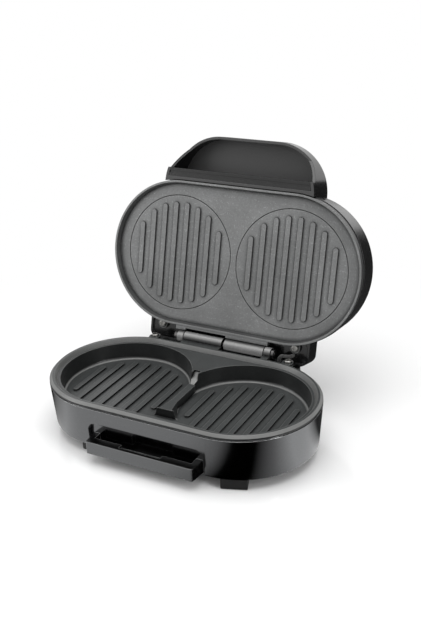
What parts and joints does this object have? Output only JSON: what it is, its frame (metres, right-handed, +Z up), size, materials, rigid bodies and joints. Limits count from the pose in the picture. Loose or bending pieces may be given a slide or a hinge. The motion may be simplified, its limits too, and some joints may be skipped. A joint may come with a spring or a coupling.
{
  "type": "electric burger maker",
  "caption": "Countertop burger cooker with two round wells in an oblong body and a hinged ribbed lid standing open.",
  "frame": {"origin": "middle of the footprint box of the open machine, on the surface it stands on", "axes": "+X to the right along the long side, +Y to the back, +Z up"},
  "size_m": [0.2554, 0.241, 0.2339],
  "materials": {
    "shell_grey": "glossy dark grey lacquer",
    "inner_black": "plain moulding",
    "foot_rubber": "plain rubber",
    "lower_coating": "dark speckled non-stick coating",
    "upper_coating": "grey speckled non-stick coating",
    "gloss_black": "glossy black moulding",
    "pin_steel": "turned steel",
    "screw_steel": "blackened steel",
    "ceramic_white": "ceramic",
    "block_white": "plain moulding",
    "gland_black": "plain moulding",
    "wire_red": "silicone insulation",
    "sleeve_fibre": "coated glass fibre",
    "lens_amber": "clear coloured plastic",
    "board_green": "printed board",
    "heater_steel": "oxidised steel tube",
    "tray_aluminium": "bright sheet",
    "clamp_steel": "zinc plated"
  },
  "bodies": {
    "base": {"base_shell": "shell_grey", "bottom_cover": "inner_black", "feet": "foot_rubber", "foot_screws": "screw_steel", "lower_plate": "lower_coating", "lower_plate_screws": "screw_steel", "front_grip": "gloss_black", "grip_screws": "screw_steel", "lower_element": "heater_steel", "lower_clamps": "clamp_steel", "lower_clamp_screws": "screw_steel", "lower_reflector": "tray_aluminium", "lower_reflector_screws": "screw_steel", "thermostat": "ceramic_white", "thermal_fuse": "pin_steel", "terminal_block": "block_white", "cord_gland": "gland_black", "base_wires": "wire_red", "base_sleeve": "sleeve_fibre", "hinge_pin": "pin_steel", "pin_clip": "pin_steel"},
    "lid": {"upper_plate": "upper_coating", "upper_plate_screws": "screw_steel", "lid_cover": "gloss_black", "lid_handle": "gloss_black", "handle_screws": "screw_steel", "handle_bar": "gloss_black", "upper_element": "heater_steel", "upper_clamps": "clamp_steel", "upper_clamp_screws": "screw_steel", "upper_reflector": "tray_aluminium", "upper_reflector_screws": "screw_steel", "indicator_lenses": "lens_amber", "lamp_board": "board_green", "board_screws": "screw_steel", "lid_sleeve": "sleeve_fibre", "lid_wires": "wire_red"}
  },
  "joints": [
    {"name": "lid_hinge", "type": "hinge", "parent": "base", "child": "lid", "pos_m": [0, 0.03805, 0.0532], "axis": [1, 0, 0], "range_deg": [0, 104.2]}
  ]
}
